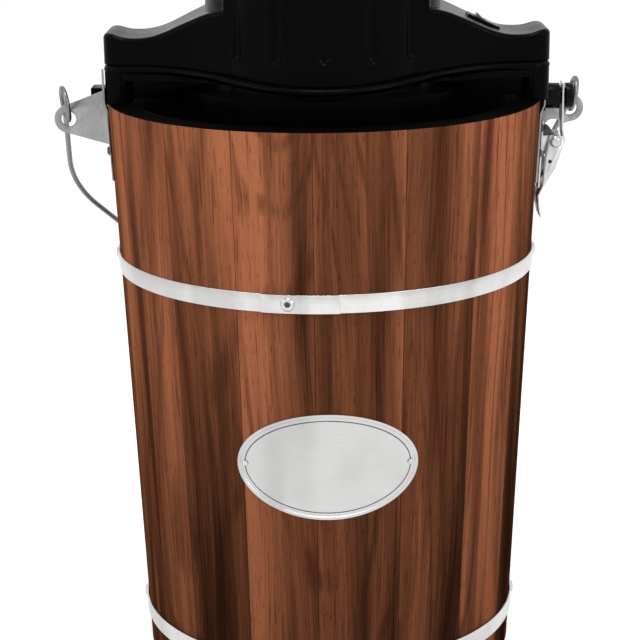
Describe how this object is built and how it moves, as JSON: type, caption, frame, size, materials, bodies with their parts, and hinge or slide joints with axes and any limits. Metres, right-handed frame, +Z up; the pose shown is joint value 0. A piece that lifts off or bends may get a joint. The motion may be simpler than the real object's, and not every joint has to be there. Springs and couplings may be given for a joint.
{
  "type": "ice cream maker",
  "caption": "Wooden-bucket electric ice cream maker: banded stave bucket with swinging bail, black motor head held by a side latch, turning can inside.",
  "frame": {"origin": "centre of the bucket's underside", "axes": "+Z up, +X towards the latch side, -Y towards the oval plate"},
  "size_m": [0.3284, 0.3062, 0.464],
  "materials": {
    "stave_wood": "stained and sealed, vertical grain",
    "grip_wood": "stained",
    "hoop_steel": "galvanised, satin",
    "galvanised": "galvanised",
    "steel": "plain",
    "plate_steel": "brushed",
    "wire_steel": "dark drawn wire",
    "dark_steel": "dark",
    "black_liner": "matt",
    "black_shell": "satin",
    "black_gloss": "gloss",
    "red_plastic": "translucent gloss",
    "can_aluminium": "satin",
    "white_plastic": "plain",
    "nylon": "plain",
    "copper": "enamelled wire"
  },
  "bodies": {
    "bucket": {"stave_01": "stave_wood", "stave_02": "stave_wood", "stave_03": "stave_wood", "stave_04": "stave_wood", "stave_05": "stave_wood", "stave_06": "stave_wood", "stave_07": "stave_wood", "stave_08": "stave_wood", "stave_09": "stave_wood", "stave_10": "stave_wood", "stave_11": "stave_wood", "stave_12": "stave_wood", "stave_13": "stave_wood", "stave_14": "stave_wood", "stave_15": "stave_wood", "stave_16": "stave_wood", "stave_17": "stave_wood", "bucket_floor": "stave_wood", "upper_hoop": "hoop_steel", "lower_hoop": "hoop_steel", "hoop_rivets": "dark_steel", "bucket_liner": "black_liner", "can_pivot": "steel", "nameplate": "plate_steel", "nameplate_pins": "steel", "bracket_left": "galvanised", "bracket_right": "galvanised", "bracket_rivets": "steel", "latch_base": "galvanised", "latch_barrel": "dark_steel", "dasher": "white_plastic"},
    "bail": {"bail_wire": "wire_steel", "bail_grip": "grip_wood"},
    "latch_lever": {"latch_lever": "galvanised", "lever_pin": "steel"},
    "head": {"head_shell": "black_shell", "head_base": "black_shell", "end_tongue": "black_shell", "catch_spool": "black_gloss", "switch_bezel": "black_gloss", "cord_inlet": "black_gloss", "gear_plate": "steel", "head_screws": "steel", "stem_socket": "nylon", "motor_stator": "dark_steel", "motor_windings": "copper"},
    "latch_strap": {"latch_strap": "galvanised"},
    "rocker": {"rocker": "red_plastic"},
    "canister": {"canister_can": "can_aluminium", "canister_lid": "can_aluminium", "lid_hub": "nylon"},
    "output": {"output_gear": "nylon"},
    "idler": {"idler_gear": "nylon"},
    "rotor": {"rotor_core": "dark_steel", "rotor_shaft": "steel", "motor_fan": "nylon"}
  },
  "joints": [
    {"name": "bail_swing", "type": "hinge", "parent": "bucket", "child": "bail", "pos_m": [0, 0, 0.3543], "axis": [-0.988, -0.1537, 0.0132], "range_deg": [-127, 0]},
    {"name": "head_lift", "type": "slide", "parent": "bucket", "child": "head", "axis": [0, 0, 1], "range_m": [0, 0.15]},
    {"name": "latch_swing", "type": "hinge", "parent": "bucket", "child": "latch_lever", "pos_m": [0.1423, 0, 0.328], "axis": [0, -1, 0], "range_deg": [0, 100]},
    {"name": "strap_swing", "type": "hinge", "parent": "head", "child": "latch_strap", "pos_m": [0.1468, 0, 0.3547], "axis": [0, -1, 0], "range_deg": [0, 6]},
    {"name": "rocker_tip", "type": "hinge", "parent": "head", "child": "rocker", "pos_m": [0.09724, 0, 0.40095], "axis": [0, -1, 0], "range_deg": [0, 20]},
    {"name": "can_spin", "type": "hinge", "parent": "bucket", "child": "canister", "pos_m": [0, 0, 0.2], "axis": [0, 0, 1], "continuous": true},
    {"name": "output_spin", "type": "hinge", "parent": "head", "child": "output", "pos_m": [0, 0, 0.37], "axis": [0, 0, 1], "continuous": true},
    {"name": "idler_spin", "type": "hinge", "parent": "head", "child": "idler", "pos_m": [0, 0.024, 0.38], "axis": [0, 0, 1], "continuous": true},
    {"name": "rotor_spin", "type": "hinge", "parent": "head", "child": "rotor", "pos_m": [0, 0, 0.42], "axis": [0, 0, 1], "continuous": true}
  ],
  "couplings": [
    {"joint": "output_spin", "follows": "can_spin", "ratio": 1},
    {"joint": "idler_spin", "follows": "can_spin", "ratio": -4},
    {"joint": "rotor_spin", "follows": "can_spin", "ratio": 16},
    {"joint": "strap_swing", "follows": "latch_swing", "ratio": 0.06}
  ]
}
